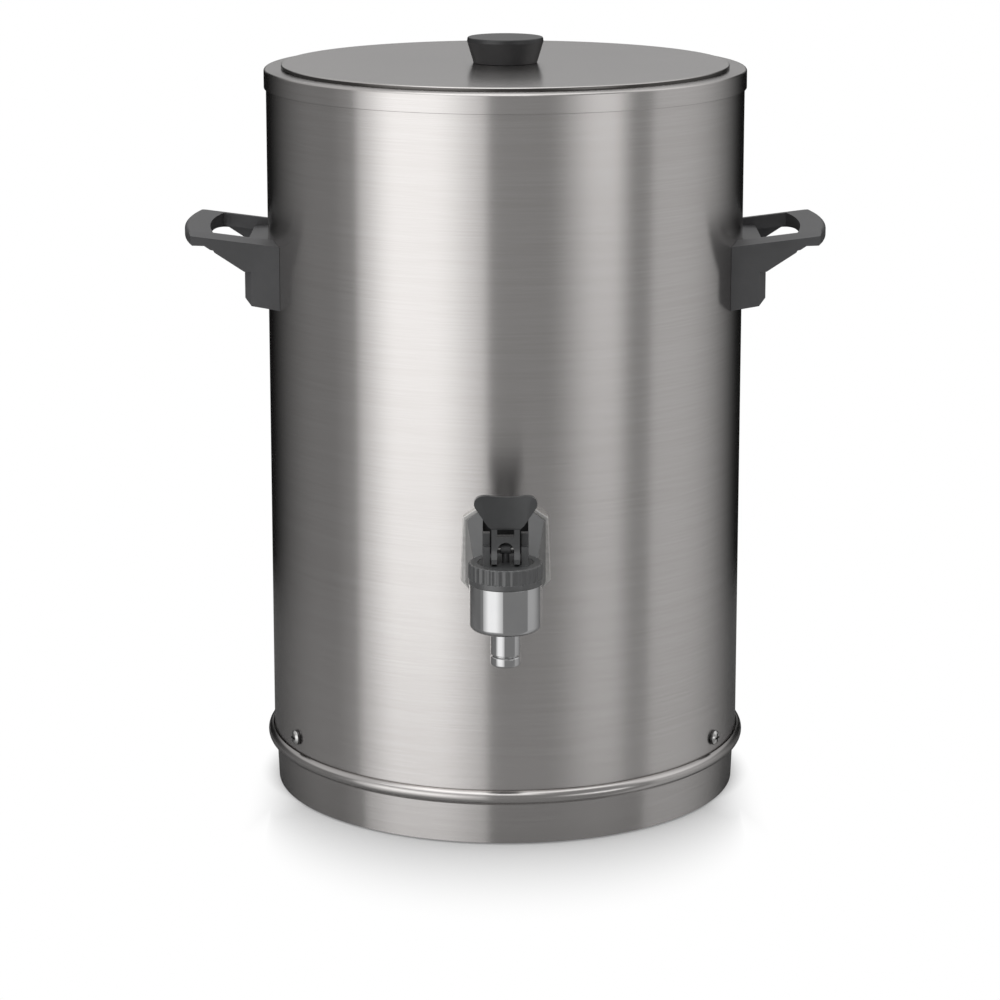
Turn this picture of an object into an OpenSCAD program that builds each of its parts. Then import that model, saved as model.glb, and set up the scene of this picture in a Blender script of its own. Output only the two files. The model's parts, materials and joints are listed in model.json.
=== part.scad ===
// Hot water urn: double-walled steel container with a lift-off lid, two side handles and a lever tap.
// Millimetres. Origin at the centre of the footprint on the surface it stands on, +Z up, tap towards -Y.

/* [Body] */
// Outer diameter of the steel jacket
jacket_d = 300; // [260:1:400]
// Sheet thickness of the jacket
jacket_t = 0.8; // [0.6:0.1:1.5]
// Height of the rim above the surface the urn stands on
rim_z = 461; // [430:1:620]
// Sheet thickness of the inner vessel
vessel_t = 1.0; // [0.8:0.1:1.5]
// Width of the space between the vessel's wall and the jacket
wall_gap = 13.2; // [11:0.1:20]
// Height of the vessel's underside
vessel_z = 130; // [125:1:134]
// Radius of the vessel's lower corner
vessel_corner_r = 8; // [4:0.5:12]
// Height of the band where the vessel's flange is turned down over the jacket
rim_band_h = 12; // [8:0.5:20]
// Radius of the band's upper edge
rim_edge_r = 1.6; // [1.1:0.1:2]

/* [Lid] */
// How far the lid's edge reaches past the vessel's mouth
lid_overlap = 5.4; // [4:0.1:9]
// Sheet thickness of the lid panel and lid pan
lid_t = 0.9; // [0.8:0.1:1.2]
// Height of the lid panel's turned edge
lid_edge_h = 2.4; // [2:0.1:5]
// Depth of the lid pan below the rim
lid_pan_h = 16; // [10:0.5:24]
// Clearance between the lid pan and the mouth
lid_clear = 0.8; // [0.4:0.1:2]
// Top diameter of the knob
knob_top_d = 48; // [40:0.5:60]
// Bottom diameter of the knob
knob_bottom_d = 40; // [34:0.5:46]
// Height of the knob
knob_h = 16; // [14:0.5:24]

/* [Base] */
// Outer radius of the bead's centre line beyond the jacket's radius
bead_out = -0.4; // [-0.6:0.1:0.2]
// Radius of the bead
bead_r = 4.4; // [4:0.1:6]
// Height of the bead's centre
bead_z = 31.6; // [29:0.1:36]
// Sheet thickness of the base ring and base pan
base_t = 1.0; // [0.8:0.1:1.4]
// How far the skirt's upper edge lies inside the jacket's radius
skirt_in = 1.5; // [1:0.1:2]
// How much the skirt tapers in towards its lower edge
skirt_taper = 1.0; // [0:0.1:2]
// Height of the base pan's upturned wall
pan_top_z = 56; // [54:0.5:64]
// Height of the base screws
base_screw_z = 45; // [44:0.5:48]
// Angle of the front base screws from the tap
base_screw_angle = 61; // [45:1:75]
// Diameter of a rubber foot
foot_d = 22; // [18:0.5:30]
// Distance of the feet from the axis
foot_pos_r = 120; // [90:1:125]

/* [Handles] */
// Width of a handle along the jacket
handle_w = 110; // [100:1:130]
// Reach of a handle's outer edge from the urn's axis, beyond the jacket
handle_reach = 52; // [48:0.5:60]
// Width of the grip bar
grip_w = 16; // [14:0.5:20]
// Width of the rail at each side of the finger gap
rail_w = 14; // [10:0.5:18]
// Height of a handle's upper edge at the jacket
handle_z = 355; // [330:1:360]
// Rise of a handle towards its outer edge, in degrees
handle_rise = 7.2; // [3:0.1:9]
// Crown of a handle's top
handle_crown = 1.8; // [1:0.1:3]
// Thickness of the grip at its outer edge
grip_h = 7; // [6:0.1:12]
// Depth of the block that lies against the jacket
block_d = 11.5; // [10:0.5:16]
// Height of that block below the handle's upper edge
block_h = 40; // [36:0.5:50]
// Height of the side cheek where it meets the block's outer face
cheek_h = 18; // [12:0.5:24]
// Thickness of a side cheek below its rail
cheek_t = 5; // [3:0.5:8]
// Wall of the block round its cored pockets
block_wall = 3.5; // [2.5:0.5:5]
// Angle of the handle screws from the handle's middle
handle_screw_angle = 12; // [9:1:13]

/* [Tap] */
// Distance of the tap's axis in front of the jacket
tap_reach = 45; // [43:0.5:60]
// Height of the tap's inlet
inlet_z = 166; // [160:1:200]
// Outer diameter of the tap body
tap_body_d = 43; // [40:0.5:50]
// Height of the chrome tap body up to the ring nut
tap_body_h = 28; // [26:0.5:32]
// Depth of the inlet's axis below the tap body's top
inlet_drop = 13; // [12:0.5:14]
// Edge radius at the foot of the tap body
tap_edge_r = 3.5; // [2:0.5:5]
// Outer diameter of the fluted ring nut
ring_d = 44; // [43:0.5:54]
// Height of the ring nut
ring_h = 12.5; // [12:0.5:16]
// Number of flutes in the ring nut
flutes = 32; // [20:1:40]
// Outer diameter of the spout
spout_d = 18; // [15:0.5:22]
// Bore of the spout
spout_bore_d = 11; // [9:0.5:12]
// Length of the spout below the tap body
spout_h = 22; // [16:0.5:36]
// Outer diameter of the inlet shank
shank_d = 19; // [18:0.5:22]
// Bore of the inlet shank
shank_bore_d = 12; // [9:0.5:13]
// Width of the wall plate at its widest
plate_w = 54; // [48:1:62]
// Height of the wall plate above the tap's inlet
plate_rise = 47; // [44:1:54]
// Sheet thickness of the wall plate
plate_t = 1.2; // [1:0.1:2]

/* [Lever] */
// Angle through which the lever is pulled forward
lever_travel = 30; // [20:1:32]
// Height of the lever's pin above the tap's cap
pin_h = 8; // [6.5:0.1:9.5]
// Distance in front of the pin at which the lever's toe bears on the cap
toe_arm = 7; // [5:0.1:8]
// Width across the fork's legs
fork_w = 16.6; // [15:0.1:18]
// Thickness of a fork leg
leg_t = 3.3; // [2.5:0.1:3.6]
// Width of the paddle at its top
paddle_w = 37; // [30:0.5:44]
// Width of the paddle at its foot
paddle_foot_w = 20; // [18:0.5:24]
// Height of the paddle's top above the pin
paddle_top = 33.5; // [30:0.5:42]
// Height of the paddle's foot above the pin
paddle_foot = 12.5; // [11:0.5:14]

/* [Heater] */
// Radius of the ring of the heating element
element_ring_r = 80; // [70:1:88]
// Diameter of the heating element's tube
element_d = 8.5; // [6.5:0.5:9]
// Radius of the element plate
element_plate_r = 100; // [95:1:115]
// Height of the cord gland at the back
gland_z = 80; // [78:1:96]

/* [Fits] */
// Gap between pieces that seat on each other in one assembly
seat_gap = 0.1; // [0.05:0.05:0.15]
// Gap between rolled sheets that lie one inside the other
sheet_gap = 0.3; // [0.2:0.05:0.4]
// Radial clearance of a screw in its clearance hole
hole_clear = 0.25; // [0.15:0.05:0.4]
// Radial clearance of a thread, drawn as a plain cylinder
thread_clear = 0.05; // [0.03:0.01:0.1]
// Radial clearance of a pin or stem that runs in its hole
run_clear = 0.06; // [0.03:0.01:0.09]

/* [Hidden] */

$fn = 128;
eps = 0.01;

// body
jacket_r = jacket_d / 2;
jacket_in_r = jacket_r - jacket_t;
vessel_r = jacket_in_r - wall_gap;
mouth_r = vessel_r - vessel_t;
band_in_r = jacket_r + sheet_gap;
band_r = band_in_r + vessel_t;
vessel_floor_z = vessel_z + vessel_t;
sleeve_z = vessel_z + 4;
sleeve_top = rim_z - rim_band_h - 4;

// base
bead_cr = jacket_r + bead_out;
jacket_z = bead_z - bead_r + base_t + sheet_gap;
jacket_top = rim_z - vessel_t - seat_gap;
skirt_r = jacket_r - skirt_in;
skirt_foot_r = skirt_r - skirt_taper;
skirt_z = 1;
pan_z = 9;
pan_wall_r = skirt_foot_r - base_t - seat_gap;
pan_upper_r = jacket_in_r - sheet_gap;
pan_step_z = jacket_z + 0.5;
base_screw_angles = [-base_screw_angle, base_screw_angle, 180];
m5_r = 2.5;
m5_head_r = 4.75;
m5_head_h = 3.1;
nut_sleeve_r = 3.6;
foot_stem_r = 4;
foot_stem_h = 7;
earth_r = 2;
earth_head_r = 3.8;
earth_x = 42;

// lid
lid_r = mouth_r + lid_overlap;
lid_rest_z = rim_z + seat_gap;
lid_top = lid_rest_z + lid_edge_h;
lid_under = lid_top - lid_t;
pan_r = mouth_r - lid_clear;
pan_flange_r = lid_r - lid_t - 0.5;
pan_floor_z = rim_z - lid_pan_h;
pan_flange_top = lid_under - seat_gap;
knob_z = lid_top + seat_gap;
insert_r = 4.5;
insert_h = knob_h - 5;
washer_r = 10;
washer_t = 1.2;
lid_screw_head_z = lid_under - 2 * seat_gap - washer_t;
screw_pocket_r = 13;

// handles
handle_r = jacket_r + handle_reach;
grip_in_r = handle_r - grip_w;
block_x = jacket_r + block_d;
gap_half = handle_w / 2 - rail_w;
handle_seat_x = sqrt(jacket_r * jacket_r - handle_w * handle_w / 4);
rise = tan(handle_rise);
rail_h = 6.5;
plate_wall_t = 1.5;
handle_screw_z = handle_z - block_h / 2 + 1;
handle_boss_r = 6;
block_chamfer = 4.3;
handle_plate_angle = handle_screw_angle + 4;
handle_bore_depth = block_d - 5;

// tap
tap_y = -(jacket_r + tap_reach);
tap_top = inlet_z + inlet_drop;
tap_bottom = tap_top - tap_body_h;
tap_r = tap_body_d / 2;
seat_floor_z = tap_bottom + 6;
seat_h = 1;
seat_z = seat_floor_z + seat_h;
ring_r = ring_d / 2;
ring_top = tap_top + ring_h;
cavity_r = 17.5;
spout_socket_r = spout_bore_d / 2 + 1.5;
socket_end = tap_bottom + 4;
neck_r = tap_r - 1.8;
neck_top = tap_top + 9;
cap_z = neck_top + 2 * seat_gap;
cap_flange_r = neck_r;
cap_flange_h = 1.7;
ring_lip_z = cap_z + cap_flange_h + seat_gap;
ring_mouth_r = cap_flange_r - 3.5;
cap_r = ring_mouth_r - 2 * seat_gap;
stem_r = 2.2;
stem_eye_r = 3.2;
stem_eye_w = 6;
pin_z = ring_top + pin_h;
pin_r = 1.5;
cup_z = seat_z + seat_gap;
cup_r = 8.5;
cup_h = 7.3;
cup_bore_r = 1.85;
collar_z = cup_z + cup_h + seat_gap;
collar_h = 1.6;
collar_r = 5.4;
spring_z = collar_z + collar_h + seat_gap;
spring_top = cap_z - seat_gap;
spring_r = 4.4;
wire_r = 0.6;
spring_turns = 6;
seal_r = 4.2;
seal_h = 1.9;
lever_gap = 0.1;
foot_h = pin_h - lever_gap;
shank_r = shank_d / 2;
seal_ring_r = shank_r + 4.5;
shank_bore_r = shank_bore_d / 2;
shank_end_y = -(mouth_r - 9);
plate_y = -(jacket_r + 4);
plate_drop = seal_ring_r + plate_t + 0.8;
plate_z = inlet_z - plate_drop;
plate_h = plate_rise + plate_drop;
cover_front_y = tap_y + ring_r - 4;
cover_back_y = plate_y - seat_gap;
inner_seal_y = -sqrt(pow(mouth_r - seat_gap, 2) - seal_ring_r * seal_ring_r);
inner_seal_t = 2;
nut_t = 5;
cheek_in = fork_w / 2 + 0.9;
cheek_out = cheek_in + 4;

// heater and wiring
plate_top = vessel_z - seat_gap;
element_plate_t = 3;
plate_under = plate_top - element_plate_t;
element_r = element_d / 2;
element_z = plate_under - element_r - seat_gap;
clamp_t = 1.5;
clamp_top = element_z - element_r - seat_gap;
stud_ring_r = element_ring_r - element_r - 9;
stud_r = 2.5;
stud_end_z = clamp_top - clamp_t - 7;
element_gap_angle = 15;
cold_end_z = element_z - 15;
sensor_pos = 30;
sensor_r = 12;
sensor_h = 12;
block_pos_y = 62;
terminal_x = 13;
terminal_y = 5;
terminal_z = 8;
terminal_r = 2.5;
tab_y = 5;
tab_h = 7;
pan_floor = pan_z + base_t;
gland_r = 9.8;
gland_flats = 24;
gland_bore_r = 4.2;
gland_inner_r = 6;
gland_flange_y = jacket_r + 7;

// The points of an arc, as polygon corners.
function arc(c, r, a0, a1, n = 8) =
    [for (i = [0:n]) c + r * [cos(a0 + (a1 - a0) * i / n), sin(a0 + (a1 - a0) * i / n)]];

// A solid of revolution about the urn's axis.
module lathe(points) {
    rotate_extrude() polygon(points);
}

// A ring between two radii.
module ring(r_out, r_in, h) {
    difference() {
        cylinder(r = r_out, h = h);
        translate([0, 0, -1]) cylinder(r = r_in, h = h + 2);
    }
}

// A round bar along +Y from y0 to y1.
module bar_y(r, y0, y1, x = 0, z = 0) {
    translate([x, y0, z]) rotate([-90, 0, 0]) cylinder(r = r, h = y1 - y0);
}

// A hexagonal bar along +Y, given its width across flats.
module hex_y(flats, y0, y1, z = 0) {
    translate([0, y0, z]) rotate([-90, 0, 0]) rotate(30)
        cylinder(r = flats / sqrt(3), h = y1 - y0, $fn = 6);
}

// Everything within a radius of the urn's axis.
module inside(r) {
    translate([0, 0, -5]) cylinder(r = r, h = rim_z + 60);
}

// A pan-head screw along +Z with its head's underside at z = 0 and its shank above.
module pan_screw(r, head_r, head_h, length) {
    difference() {
        union() {
            cylinder(r = r, h = length);
            translate([0, 0, -head_h]) cylinder(r1 = head_r * 0.72, r2 = head_r, h = head_h * 0.45 + eps);
            translate([0, 0, -head_h * 0.55]) cylinder(r = head_r, h = head_h * 0.55);
        }
        for (a = [0, 90])
            rotate(a) translate([-head_r * 0.55, -0.5, -head_h - 1])
                cube([head_r * 1.1, 1, 1 + head_h * 0.5]);
    }
}

// ---------------------------------------------------------------- lid

module lid_panel() {
    color("silver") difference() {
        lathe(concat(
            [[0, lid_under], [lid_r - lid_t, lid_under], [lid_r - lid_t, lid_rest_z], [lid_r, lid_rest_z]],
            arc([lid_r - lid_t, lid_top - lid_t], lid_t, 0, 90, 4),
            [[0, lid_top]]));
        translate([0, 0, lid_under - 1]) cylinder(r = m5_r + hole_clear, h = lid_t + 2);
    }
}

module lid_pan() {
    color("silver") lathe([
        [0, pan_floor_z], [pan_r - 2, pan_floor_z], [pan_r, pan_floor_z + 2],
        [pan_r, pan_flange_top - lid_t], [pan_flange_r, pan_flange_top - lid_t],
        [pan_flange_r, pan_flange_top], [pan_r - lid_t, pan_flange_top],
        [pan_r - lid_t, pan_floor_z + lid_t + 1.6], [pan_r - lid_t - 1.6, pan_floor_z + lid_t],
        [0, pan_floor_z + lid_t]]);
}

module lid_insulation() {
    bottom = pan_floor_z + lid_t + seat_gap;
    top = lid_under - seat_gap;
    color("khaki") difference() {
        translate([0, 0, bottom]) cylinder(r = pan_r - lid_t - 2, h = top - bottom);
        translate([0, 0, lid_screw_head_z - m5_head_h - 1]) cylinder(r = screw_pocket_r, h = 30);
    }
}

module lid_knob() {
    top_r = knob_top_d / 2;
    edge = 2;
    color("dimgray") difference() {
        translate([0, 0, knob_z]) lathe(concat(
            [[0, 0], [knob_bottom_d / 2, 0]],
            arc([top_r - edge, knob_h - edge], edge, -10, 90, 6),
            [[0, knob_h]]));
        translate([0, 0, knob_z - 1]) cylinder(r = insert_r + seat_gap, h = insert_h + 1 + seat_gap);
    }
}

module knob_insert() {
    color("gold") translate([0, 0, knob_z]) ring(insert_r, m5_r + thread_clear, insert_h);
}

module knob_screw() {
    color("silver") translate([0, 0, lid_screw_head_z]) pan_screw(
        m5_r, m5_head_r, m5_head_h, knob_z + insert_h - 1 - lid_screw_head_z);
}

module knob_washer() {
    color("silver") translate([0, 0, lid_screw_head_z + seat_gap])
        ring(washer_r, m5_r + hole_clear, washer_t);
}

// ---------------------------------------------------------------- walls

module vessel() {
    c = vessel_corner_r;
    e = rim_edge_r;
    color("silver") difference() {
        lathe(concat(
            [[0, vessel_z]],
            arc([vessel_r - c, vessel_z + c], c, -90, 0, 6),
            [[vessel_r, rim_z - vessel_t], [band_in_r, rim_z - vessel_t], [band_in_r, rim_z - rim_band_h],
             [band_r, rim_z - rim_band_h]],
            arc([band_r - e, rim_z - e], e, 0, 90, 5),
            arc([mouth_r + e, rim_z - e], e, 90, 180, 5),
            arc([mouth_r - c + vessel_t, vessel_floor_z + c - vessel_t], c - vessel_t, 0, -90, 6),
            [[0, vessel_floor_z]]));
        bar_y(shank_r + hole_clear, -vessel_r - 5, -mouth_r + 15, z = inlet_z);
    }
}

module handle_holes(r) {
    for (side = [0, 180], a = [-1, 1])
        rotate(side + a * handle_screw_angle)
            translate([jacket_r - 20, 0, handle_screw_z]) rotate([0, 90, 0]) cylinder(r = r, h = 30);
}

module jacket() {
    color("silver") difference() {
        translate([0, 0, jacket_z]) ring(jacket_r, jacket_in_r, jacket_top - jacket_z);
        bar_y(shank_r + hole_clear, -jacket_r - 5, -jacket_r + 15, z = inlet_z);
        bar_y(gland_r + hole_clear, jacket_r - 15, jacket_r + 5, z = gland_z);
        handle_holes(m5_r + hole_clear);
        base_screw_holes(m5_r + hole_clear);
    }
}

module insulation_sleeve() {
    pocket_h = 46;
    half = jacket_in_r * sin(handle_plate_angle) + 1;
    back = vessel_r - 12;
    color("khaki") difference() {
        translate([0, 0, sleeve_z]) ring(jacket_in_r - 0.4, vessel_r + seat_gap, sleeve_top - sleeve_z);
        bar_y(seal_ring_r + 2, -jacket_r - 1, -vessel_r + 12, z = inlet_z);
        for (side = [0, 180])
            rotate(side) translate([back, -half, handle_screw_z - pocket_h / 2]) difference() {
                cube([jacket_r - back, 2 * half, pocket_h]);
                translate([-back, half, -1]) cylinder(r = vessel_r + 5, h = pocket_h + 2);
            }
    }
}

// ---------------------------------------------------------------- base

module base_ring() {
    t = base_t;
    color("silver") lathe(concat(
        [[skirt_foot_r, skirt_z], [skirt_r, bead_z - bead_r - 1.2]],
        arc([bead_cr, bead_z], bead_r, -90, 72, 12),
        arc([bead_cr, bead_z], bead_r - t, 72, -90, 12),
        [[skirt_r - t, bead_z - bead_r - 0.8], [skirt_foot_r - t, skirt_z]]));
}

module base_screw_holes(r) {
    for (a = base_screw_angles)
        rotate(a) bar_y(r, -jacket_r - 5, -jacket_r + 12, z = base_screw_z);
}

module base_pan() {
    t = base_t;
    color("silver") difference() {
        lathe([
            [0, pan_z], [pan_wall_r, pan_z], [pan_wall_r, pan_step_z - 0.5],
                [pan_upper_r, pan_step_z + 2.2],
            [pan_upper_r, pan_top_z], [pan_upper_r - t, pan_top_z], [pan_upper_r - t, pan_step_z + 2.6],
            [pan_wall_r - t, pan_step_z - 0.1], [pan_wall_r - t, pan_floor], [0, pan_floor]]);
        base_screw_holes(nut_sleeve_r + hole_clear);
        foot_places() translate([0, 0, pan_z - 1]) cylinder(r = foot_stem_r + hole_clear, h = 4);
        translate([earth_x, block_pos_y, pan_z - 1]) cylinder(r = earth_r + hole_clear, h = 4);
    }
}

module base_screws() {
    seat = jacket_r + seat_gap;
    color("silver") for (a = base_screw_angles)
        rotate(a) translate([0, -seat, base_screw_z]) rotate([-90, 0, 0])
            pan_screw(m5_r, m5_head_r, m5_head_h, 13);
}

module base_screw_nuts() {
    back = pan_upper_r - base_t;
    color("gray") for (a = base_screw_angles)
        rotate(a) difference() {
            union() {
                bar_y(nut_sleeve_r, -pan_upper_r + 0.2, -back + 9, z = base_screw_z);
                intersection() {
                    bar_y(5, -back, -back + 2, z = base_screw_z);
                    inside(back - seat_gap);
                }
            }
            bar_y(m5_r + thread_clear, -jacket_r, -back + 20, z = base_screw_z);
        }
}

module foot_places() {
    for (a = [45:90:315])
        rotate(a) translate([foot_pos_r, 0, 0]) children();
}

// A foot with its moulded stem, which goes up through the base pan.
module rubber_feet() {
    color("black") foot_places() {
        cylinder(r = foot_d / 2, h = pan_z - seat_gap);
        translate([0, 0, eps]) cylinder(r = foot_stem_r, h = pan_floor + foot_stem_h - eps);
    }
}

// Push-on rings that hold the feet's stems above the base pan.
module foot_retainers() {
    color("silver") foot_places() translate([0, 0, pan_floor + seat_gap])
        ring(foot_stem_r + 4, foot_stem_r + thread_clear, 1.2);
}

// ---------------------------------------------------------------- handles

// Height of a handle's outer top edge at a distance from the urn's axis.
function edge_z(x) = handle_z + (x - handle_seat_x) * rise;

// Side view of a handle, x outwards and z up.
module handle_profile() {
    bottom = handle_z - block_h;
    c = block_chamfer;
    far = handle_r + 4;
    polygon([
        [jacket_r - 20, edge_z(jacket_r - 20) + handle_crown], [far, edge_z(far) + handle_crown],
        [far, edge_z(handle_r) - grip_h + 0.6], [grip_in_r, edge_z(handle_r) - grip_h],
        [block_x, edge_z(block_x) - cheek_h], [block_x, bottom + c + 3.2],
        [block_x - c, bottom + 3.2], [jacket_r - 20, bottom - 1.6]]);
}

// The handle's outline seen along the radius. Its rounded outer edge stays on one circle about the urn.
module handle_envelope() {
    top = edge_z(handle_r) + handle_crown;
    bottom = edge_z(handle_r) - grip_h;
    e = 2.5;
    lathe(concat(
        [[0, handle_z - block_h - 10], [handle_r - 20, handle_z - block_h - 10],
            [handle_r - 14, bottom - 3]],
        arc([handle_r - e, bottom + e - 0.4], e, -90, 0, 5),
        arc([handle_r - e, top - e - 0.6], e, 0, 90, 5),
        [[handle_r - 14, top + 4], [0, top + 4]]));
}

module handle_solid() {
    half = handle_w / 2;
    c = block_chamfer;
    intersection() {
        translate([0, half, 0]) rotate([90, 0, 0]) linear_extrude(handle_w) handle_profile();
        handle_envelope();
        // plan view with the block's outer corners cut off below the cheeks
        union() {
            translate([jacket_r - 30, -half, edge_z(block_x) - cheek_h]) cube([100, handle_w, 80]);
            translate([0, 0, handle_z - block_h - 10]) linear_extrude(60) polygon([
                [jacket_r - 30, -half], [block_x - c, -half], [block_x, -half + 6],
                [block_x, half - 6], [block_x - c, half], [jacket_r - 30, half]]);
        }
    }
}

// The finger gap, the hollow under the rails and the shallow tray over the block.
module handle_hollows() {
    back = block_x - 1;
    difference() {
        union() {
            translate([block_x, -gap_half, 200]) cube([40, 2 * gap_half, 300]);
            translate([0, handle_w / 2 - cheek_t, 0]) rotate([90, 0, 0])
                linear_extrude(handle_w - 2 * cheek_t)
                polygon([[block_x, 200], [handle_r + 9, 200], [handle_r + 9, edge_z(handle_r + 9) - rail_h],
                         [block_x, edge_z(block_x) - rail_h]]);
        }
        difference() {
            translate([0, 0, 100]) cylinder(r = handle_r + 30, h = 400);
            translate([0, 0, 90]) cylinder(r = grip_in_r, h = 420);
        }
    }
    translate([jacket_r - 30, -gap_half, handle_z - 1]) cube([30 + block_d + eps, 2 * gap_half, 60]);
}

// Pockets moulded into the block from the jacket's side, with a boss left for each screw.
module handle_cores() {
    w = block_wall;
    half = handle_w / 2 - w - 2;
    low = handle_z - block_h + w + 1;
    difference() {
        translate([jacket_r - 30, -half, low]) cube([30 + block_d - w, 2 * half, block_h - 2 * w - 2]);
        for (a = [-1, 1])
            rotate(a * handle_screw_angle) translate([jacket_r - 40, 0, handle_screw_z]) rotate([0, 90, 0])
                cylinder(r = handle_boss_r, h = 60);
        for (y = [-half * 0.82, 0, half * 0.82])
            translate([jacket_r - 30, y - 1.25, low - 1]) cube([60, 2.5, block_h]);
    }
}

module handle_shape() {
    wedge = (handle_crown + 0.2) / rail_w;
    difference() {
        handle_solid();
        inside(jacket_r + seat_gap);
        handle_hollows();
        handle_cores();
        for (a = [-1, 1])
            rotate(a * handle_screw_angle) translate([jacket_r - 20, 0, handle_screw_z]) rotate([0, 90, 0])
                cylinder(r = m5_r + thread_clear, h = 20 + handle_bore_depth);
        for (side = [-1, 1])
            translate([handle_seat_x, 0, handle_z]) rotate([0, -handle_rise, 0]) translate([-30, 0, 0])
                rotate([90, 0, 90]) linear_extrude(120) polygon([
                    [side * (gap_half + 2), handle_crown], [side * (handle_w / 2 + 1), 0],
                    [side * (handle_w / 2 + 1), handle_crown + 9],
                        [side * (gap_half + 2), handle_crown + 9]]);
    }
}

module handle_right() {
    color("dimgray") handle_shape();
}

module handle_left() {
    color("dimgray") mirror([1, 0, 0]) handle_shape();
}

module handle_plates() {
    r = jacket_in_r - seat_gap;
    color("gray") for (side = [0, 180])
        rotate(side) difference() {
            translate([0, 0, handle_screw_z - 12]) rotate(-handle_plate_angle)
                rotate_extrude(angle = 2 * handle_plate_angle)
                    translate([r - plate_wall_t, 0]) square([plate_wall_t, 24]);
            for (a = [-1, 1])
                rotate(a * handle_screw_angle) translate([r - 20, 0, handle_screw_z]) rotate([0, 90, 0])
                    cylinder(r = m5_r + hole_clear, h = 30);
        }
}

module handle_screws() {
    seat = sqrt(pow(jacket_in_r - seat_gap - plate_wall_t, 2) - m5_head_r * m5_head_r) - seat_gap;
    reach = jacket_r + handle_bore_depth - 1 - seat;
    color("silver") for (side = [0, 180], a = [-1, 1])
        rotate(side + a * handle_screw_angle) translate([seat, 0, handle_screw_z]) rotate([0, 90, 0])
            pan_screw(m5_r, m5_head_r, m5_head_h, reach);
}

// ---------------------------------------------------------------- tap: fixed pieces

// Outline of the wall plate, x across and z up.
module plate_outline(inset = 0) {
    w = plate_w / 2 - inset;
    h = plate_h - 2 * inset;
    foot = w - 17;
    shoulder = plate_drop + 3.5 - inset / 2;
    translate([0, plate_z + inset]) polygon([
        [-foot, 0], [foot, 0], [w, shoulder], [w - 1.5, h - 5], [w - 9, h], [-w + 9, h],
        [-w + 1.5, h - 5], [-w, shoulder]]);
}

module tap_wall_plate() {
    color("silver") difference() {
        translate([0, -jacket_r + 15, 0]) rotate([90, 0, 0])
            linear_extrude(-plate_y - jacket_r + 15) plate_outline();
        translate([0, -jacket_r + 16, 0]) rotate([90, 0, 0])
            linear_extrude(-plate_y - jacket_r + 16 - plate_t) plate_outline(plate_t);
        inside(jacket_r + seat_gap);
        bar_y(shank_r + hole_clear, plate_y - 5, plate_y + 10, z = inlet_z);
    }
}

module tap_neck_cover() {
    back_w = 24;
    front_w = 19;
    low = inlet_z - 4;
    slot = cheek_out + 0.3;
    cover_inset = 1.5;
    color("dimgray") difference() {
        intersection() {
            translate([0, 0, low]) linear_extrude(60) polygon([
                [-back_w, cover_back_y], [back_w, cover_back_y], [front_w, cover_front_y],
                    [-front_w, cover_front_y]]);
            translate([-40, 0, 0]) rotate([90, 0, 90]) linear_extrude(80) polygon([
                [cover_back_y, low - 1], [cover_back_y, plate_z + plate_h],
                [cover_front_y, ring_top - 4], [cover_front_y, low - 1]]);
            translate([0, cover_back_y + 1, 0]) rotate([90, 0, 0]) linear_extrude(60)
                plate_outline(cover_inset);
        }
        // slot behind the lever
        translate([-slot, cover_front_y - 1, ring_top - 1])
            cube([2 * slot, cover_back_y - cover_front_y - 2, 60]);
        bar_y(shank_r + hole_clear, -jacket_r - 60, -jacket_r + 5, z = inlet_z);
        translate([0, tap_y, 0]) cylinder(r = tap_r + seat_gap, h = tap_top);
        translate([0, tap_y, tap_top - 1]) cylinder(r = ring_r + 0.3, h = 60);
    }
}

module tap_outer_seal() {
    color("black") difference() {
        bar_y(seal_ring_r, plate_y + plate_t + seat_gap, -jacket_r - seat_gap, z = inlet_z);
        bar_y(shank_r + seat_gap, plate_y - 1, -jacket_r + 9, z = inlet_z);
    }
}

module tap_spacer() {
    color("gray") intersection() {
        difference() {
            bar_y(seal_ring_r, -jacket_r - 1, -vessel_r + 8, z = inlet_z);
            bar_y(shank_r + seat_gap, -jacket_r - 2, -vessel_r + 9, z = inlet_z);
            inside(vessel_r + seat_gap);
        }
        inside(jacket_in_r - seat_gap);
    }
}

module tap_inner_seal() {
    color("black") difference() {
        bar_y(seal_ring_r, inner_seal_y, inner_seal_y + inner_seal_t, z = inlet_z);
        bar_y(shank_r + seat_gap, inner_seal_y - 1, inner_seal_y + inner_seal_t + 1, z = inlet_z);
    }
}

module tap_lock_nut() {
    start = inner_seal_y + inner_seal_t + seat_gap;
    color("silver") difference() {
        hex_y(27, start, start + nut_t, z = inlet_z);
        bar_y(shank_r + thread_clear, start - 1, start + nut_t + 1, z = inlet_z);
    }
}

module tap_body() {
    e = tap_edge_r;
    color("gainsboro") difference() {
        union() {
            translate([0, tap_y, 0]) lathe(concat(
                [[0, tap_bottom]], arc([tap_r - e, tap_bottom + e], e, -90, 0, 6),
                [[tap_r, tap_top], [neck_r, tap_top], [neck_r, neck_top], [0, neck_top]]));
            bar_y(shank_r, tap_y, shank_end_y, z = inlet_z);
        }
        translate([0, tap_y, 0]) lathe([
            [0, tap_bottom - 1], [spout_socket_r, tap_bottom - 1], [spout_socket_r, socket_end],
            [spout_bore_d / 2, socket_end], [spout_bore_d / 2, seat_z], [cup_r - 0.5, seat_z],
            [cup_r - 0.5, seat_floor_z], [cavity_r, seat_floor_z], [cavity_r, neck_top + 1],
                [0, neck_top + 1]]);
        bar_y(shank_bore_r, tap_y, shank_end_y + 1, z = inlet_z);
    }
}

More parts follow.
